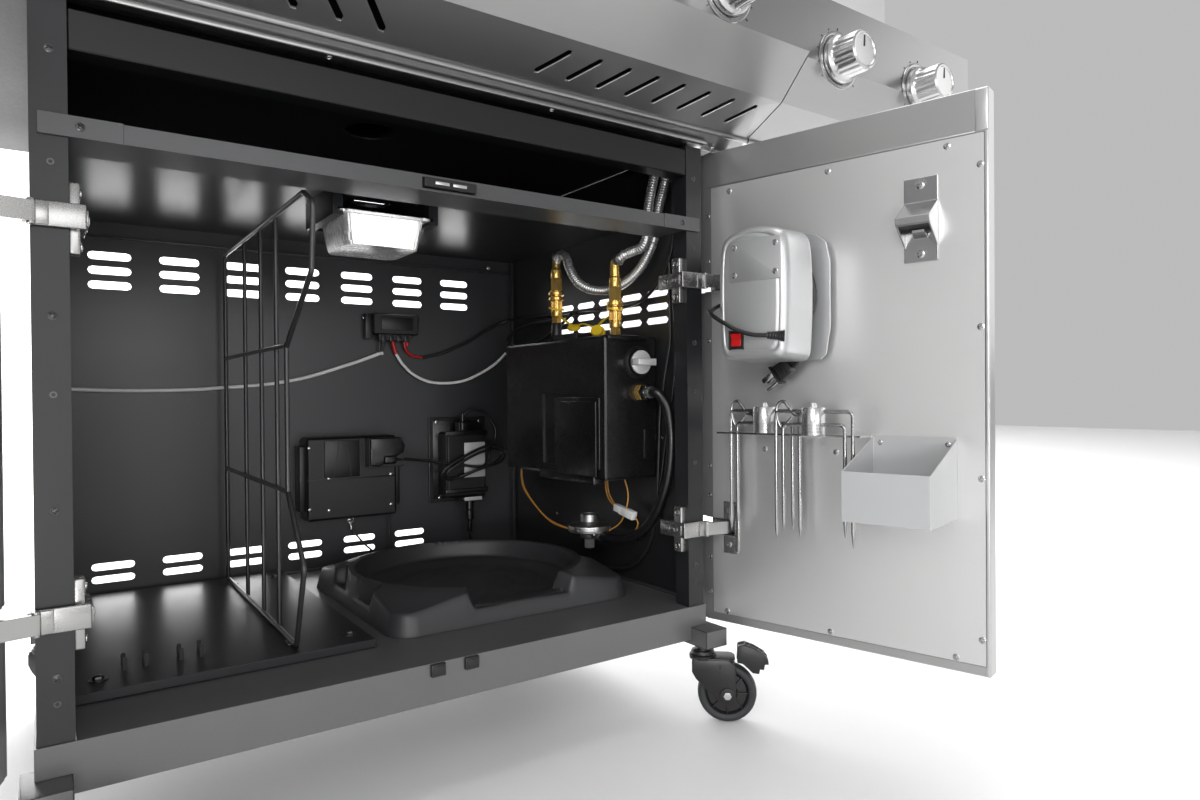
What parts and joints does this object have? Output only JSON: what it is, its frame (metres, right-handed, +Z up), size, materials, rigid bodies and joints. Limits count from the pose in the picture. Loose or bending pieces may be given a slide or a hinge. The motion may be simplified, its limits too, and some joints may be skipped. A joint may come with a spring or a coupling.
{
  "type": "gas barbecue grill",
  "caption": "Gas barbecue grill on a wheeled cabinet cart with open doors, gas selector box and regulator inside, and rotisserie motor, spit forks, bin and opener kept on a door.",
  "frame": {"origin": "centre of the footprint at floor level", "axes": "+X to the right seen from the front, +Z up, the doors and knobs face -Y"},
  "size_m": [1.51, 0.8697, 1.163],
  "materials": {
    "mat_side_frame_left": "satin powder coat",
    "mat_side_frame_right": "satin powder coat",
    "mat_bottom_shelf": "satin powder coat",
    "mat_raised_shelf_panel": "satin powder coat",
    "mat_back_panel": "satin powder coat",
    "mat_front_cross_rail": "satin powder coat",
    "mat_top_front_rail": "satin powder coat",
    "mat_cabinet_ceiling": "satin powder coat",
    "mat_divider_rack": "satin powder coat",
    "mat_cord_spool": "satin powder coat",
    "mat_caster_fork_front_right": "satin powder coat",
    "mat_caster_fork_front_left": "satin powder coat",
    "mat_caster_fork_rear_right": "satin powder coat",
    "mat_caster_fork_rear_left": "satin powder coat",
    "mat_condiment_bin": "satin powder coat",
    "mat_door_right_shell": "brushed",
    "mat_door_right_liner": "brushed",
    "mat_door_left_shell": "brushed",
    "mat_door_left_liner": "brushed",
    "mat_firebox": "brushed",
    "mat_burners": "brushed",
    "mat_lid": "brushed",
    "mat_control_panel": "brushed",
    "mat_side_shelf_left": "brushed",
    "mat_side_shelf_right": "brushed",
    "mat_fork_holder": "brushed",
    "mat_spit_fork_a": "polished",
    "mat_spit_fork_b": "polished",
    "mat_bottle_opener": "polished",
    "mat_hinge_link_right_lower": "polished",
    "mat_hinge_link_right_upper": "polished",
    "mat_hinge_link_left_lower": "polished",
    "mat_hinge_link_left_upper": "polished",
    "mat_rotisserie_motor": "satin",
    "mat_grease_cup": "satin",
    "mat_regulator": "satin",
    "mat_selector_knob": "satin",
    "mat_burner_knob_1": "satin",
    "mat_burner_knob_2": "satin",
    "mat_burner_knob_3": "satin",
    "mat_burner_knob_4": "satin",
    "mat_shelf_knob_1": "satin",
    "mat_shelf_knob_2": "satin",
    "mat_cooking_grate": "matt",
    "mat_gas_line_a": "satin",
    "mat_gas_line_b": "satin",
    "mat_power_cord": "matt",
    "mat_caster_wheel_front_right": "matt",
    "mat_caster_wheel_front_left": "matt",
    "mat_caster_wheel_rear_right": "matt",
    "mat_caster_wheel_rear_left": "matt",
    "mat_magnet_catch": "matt",
    "mat_tank_tray": "matt",
    "mat_selector_box": "matt",
    "mat_junction_block": "matt",
    "mat_control_box": "matt",
    "mat_power_adapter": "matt",
    "mat_motor_rocker_switch": "matt",
    "mat_brake_lever_front_right": "matt",
    "mat_brake_lever_front_left": "matt"
  },
  "bodies": {
    "cart": {"side_frame_left": "mat_side_frame_left", "side_frame_right": "mat_side_frame_right", "bottom_shelf": "mat_bottom_shelf", "raised_shelf_panel": "mat_raised_shelf_panel", "back_panel": "mat_back_panel", "front_cross_rail": "mat_front_cross_rail", "top_front_rail": "mat_top_front_rail", "cabinet_ceiling": "mat_cabinet_ceiling", "magnet_catch": "mat_magnet_catch", "tank_tray": "mat_tank_tray", "divider_rack": "mat_divider_rack", "selector_box": "mat_selector_box", "gas_line_a": "mat_gas_line_a", "gas_line_b": "mat_gas_line_b", "regulator": "mat_regulator", "junction_block": "mat_junction_block", "control_box": "mat_control_box", "power_adapter": "mat_power_adapter", "firebox": "mat_firebox", "burners": "mat_burners", "cooking_grate": "mat_cooking_grate", "control_panel": "mat_control_panel", "side_shelf_left": "mat_side_shelf_left", "side_shelf_right": "mat_side_shelf_right"},
    "right_door": {"door_right_shell": "mat_door_right_shell", "door_right_liner": "mat_door_right_liner", "fork_holder": "mat_fork_holder", "condiment_bin": "mat_condiment_bin", "bottle_opener": "mat_bottle_opener"},
    "left_door": {"door_left_shell": "mat_door_left_shell", "door_left_liner": "mat_door_left_liner"},
    "right_hinge_links": {"hinge_link_right_lower": "mat_hinge_link_right_lower", "hinge_link_right_upper": "mat_hinge_link_right_upper"},
    "left_hinge_links": {"hinge_link_left_lower": "mat_hinge_link_left_lower", "hinge_link_left_upper": "mat_hinge_link_left_upper"},
    "rotisserie_motor": {"rotisserie_motor": "mat_rotisserie_motor", "cord_spool": "mat_cord_spool", "power_cord": "mat_power_cord"},
    "motor_rocker": {"motor_rocker_switch": "mat_motor_rocker_switch"},
    "spit_fork_a": {"spit_fork_a": "mat_spit_fork_a"},
    "spit_fork_b": {"spit_fork_b": "mat_spit_fork_b"},
    "lid": {"lid": "mat_lid"},
    "grease_cup": {"grease_cup": "mat_grease_cup"},
    "selector_knob": {"selector_knob": "mat_selector_knob"},
    "burner_knob_1": {"burner_knob_1": "mat_burner_knob_1"},
    "burner_knob_2": {"burner_knob_2": "mat_burner_knob_2"},
    "burner_knob_3": {"burner_knob_3": "mat_burner_knob_3"},
    "burner_knob_4": {"burner_knob_4": "mat_burner_knob_4"},
    "shelf_knob_1": {"shelf_knob_1": "mat_shelf_knob_1"},
    "shelf_knob_2": {"shelf_knob_2": "mat_shelf_knob_2"},
    "caster_front_right": {"caster_fork_front_right": "mat_caster_fork_front_right"},
    "wheel_front_right": {"caster_wheel_front_right": "mat_caster_wheel_front_right"},
    "brake_lever_front_right": {"brake_lever_front_right": "mat_brake_lever_front_right"},
    "caster_front_left": {"caster_fork_front_left": "mat_caster_fork_front_left"},
    "wheel_front_left": {"caster_wheel_front_left": "mat_caster_wheel_front_left"},
    "brake_lever_front_left": {"brake_lever_front_left": "mat_brake_lever_front_left"},
    "caster_rear_right": {"caster_fork_rear_right": "mat_caster_fork_rear_right"},
    "wheel_rear_right": {"caster_wheel_rear_right": "mat_caster_wheel_rear_right"},
    "caster_rear_left": {"caster_fork_rear_left": "mat_caster_fork_rear_left"},
    "wheel_rear_left": {"caster_wheel_rear_left": "mat_caster_wheel_rear_left"}
  },
  "joints": [
    {"name": "right_door_hinge", "type": "hinge", "parent": "cart", "child": "right_door", "pos_m": [0.34502, -0.10655, 0.395], "axis": [0, 0, 1], "range_deg": [-104, 0]},
    {"name": "left_door_hinge", "type": "hinge", "parent": "cart", "child": "left_door", "pos_m": [-0.34502, -0.10655, 0.395], "axis": [0, 0, 1], "range_deg": [0, 104]},
    {"name": "right_hinge_links_turn", "type": "hinge", "parent": "cart", "child": "right_hinge_links", "pos_m": [0.3441, -0.127, 0.395], "axis": [0, 0, 1], "range_deg": [-158, 0]},
    {"name": "left_hinge_links_turn", "type": "hinge", "parent": "cart", "child": "left_hinge_links", "pos_m": [-0.3441, -0.127, 0.395], "axis": [0, 0, 1], "range_deg": [0, 158]},
    {"name": "motor_lift_off", "type": "slide", "parent": "right_door", "child": "rotisserie_motor", "axis": [0, 0, 1], "range_m": [0, 0.05]},
    {"name": "motor_rocker_tilt", "type": "hinge", "parent": "rotisserie_motor", "child": "motor_rocker", "pos_m": [0.30343, -0.22103, 0.472], "axis": [-0.2419, 0.9703, 0], "range_deg": [-10, 0]},
    {"name": "spit_fork_a_lift", "type": "slide", "parent": "right_door", "child": "spit_fork_a", "axis": [0, 0, 1], "range_m": [0, 0.017]},
    {"name": "spit_fork_b_lift", "type": "slide", "parent": "right_door", "child": "spit_fork_b", "axis": [0, 0, 1], "range_m": [0, 0.045]},
    {"name": "lid_hinge", "type": "hinge", "parent": "cart", "child": "lid", "pos_m": [0, 0.4055, 0.9012], "axis": [-1, 0, 0], "range_deg": [0, 85]},
    {"name": "grease_cup_slide", "type": "slide", "parent": "cart", "child": "grease_cup", "axis": [0, -1, 0], "range_m": [0, 0.08]},
    {"name": "selector_turn", "type": "hinge", "parent": "cart", "child": "selector_knob", "pos_m": [0.307, -0.034, 0.454], "axis": [0, -1, 0], "range_deg": [0, 90]},
    {"name": "burner_knob_1_turn", "type": "hinge", "parent": "cart", "child": "burner_knob_1", "pos_m": [-0.27, -0.2446, 0.848], "axis": [0, -1, 0], "range_deg": [0, 200]},
    {"name": "burner_knob_2_turn", "type": "hinge", "parent": "cart", "child": "burner_knob_2", "pos_m": [-0.09, -0.2446, 0.848], "axis": [0, -1, 0], "range_deg": [0, 200]},
    {"name": "burner_knob_3_turn", "type": "hinge", "parent": "cart", "child": "burner_knob_3", "pos_m": [0.09, -0.2446, 0.848], "axis": [0, -1, 0], "range_deg": [0, 200]},
    {"name": "burner_knob_4_turn", "type": "hinge", "parent": "cart", "child": "burner_knob_4", "pos_m": [0.27, -0.2446, 0.848], "axis": [0, -1, 0], "range_deg": [0, 200]},
    {"name": "shelf_knob_1_turn", "type": "hinge", "parent": "cart", "child": "shelf_knob_1", "pos_m": [0.462, -0.2396, 0.819], "axis": [0, -1, 0], "range_deg": [0, 200]},
    {"name": "shelf_knob_2_turn", "type": "hinge", "parent": "cart", "child": "shelf_knob_2", "pos_m": [0.63, -0.2396, 0.819], "axis": [0, -1, 0], "range_deg": [0, 200]},
    {"name": "caster_front_right_swivel", "type": "hinge", "parent": "cart", "child": "caster_front_right", "pos_m": [0.339, -0.1225, 0.09], "axis": [0, 0, 1], "continuous": true},
    {"name": "wheel_front_right_roll", "type": "hinge", "parent": "caster_front_right", "child": "wheel_front_right", "pos_m": [0.36129, -0.14257, 0.0365], "axis": [0.6691, 0.7431, 0], "continuous": true},
    {"name": "brake_lever_front_right_press", "type": "hinge", "parent": "caster_front_right", "child": "brake_lever_front_right", "pos_m": [0.37281, -0.15295, 0.079], "axis": [0.6691, 0.7431, 0], "range_deg": [0, 8]},
    {"name": "caster_front_left_swivel", "type": "hinge", "parent": "cart", "child": "caster_front_left", "pos_m": [-0.339, -0.1225, 0.09], "axis": [0, 0, 1], "continuous": true},
    {"name": "wheel_front_left_roll", "type": "hinge", "parent": "caster_front_left", "child": "wheel_front_left", "pos_m": [-0.31671, -0.14257, 0.0365], "axis": [0.6691, 0.7431, 0], "continuous": true},
    {"name": "brake_lever_front_left_press", "type": "hinge", "parent": "caster_front_left", "child": "brake_lever_front_left", "pos_m": [-0.30519, -0.15295, 0.079], "axis": [0.6691, 0.7431, 0], "range_deg": [0, 8]},
    {"name": "caster_rear_right_swivel", "type": "hinge", "parent": "cart", "child": "caster_rear_right", "pos_m": [0.339, 0.4095, 0.09], "axis": [0, 0, 1], "continuous": true},
    {"name": "wheel_rear_right_roll", "type": "hinge", "parent": "caster_rear_right", "child": "wheel_rear_right", "pos_m": [0.36129, 0.38943, 0.0365], "axis": [0.6691, 0.7431, 0], "continuous": true},
    {"name": "caster_rear_left_swivel", "type": "hinge", "parent": "cart", "child": "caster_rear_left", "pos_m": [-0.339, 0.4095, 0.09], "axis": [0, 0, 1], "continuous": true},
    {"name": "wheel_rear_left_roll", "type": "hinge", "parent": "caster_rear_left", "child": "wheel_rear_left", "pos_m": [-0.31671, 0.38943, 0.0365], "axis": [0.6691, 0.7431, 0], "continuous": true}
  ],
  "couplings": [
    {"joint": "right_hinge_links_turn", "follows": "right_door_hinge", "ratio": 1.5038},
    {"joint": "left_hinge_links_turn", "follows": "left_door_hinge", "ratio": 1.5038}
  ]
}
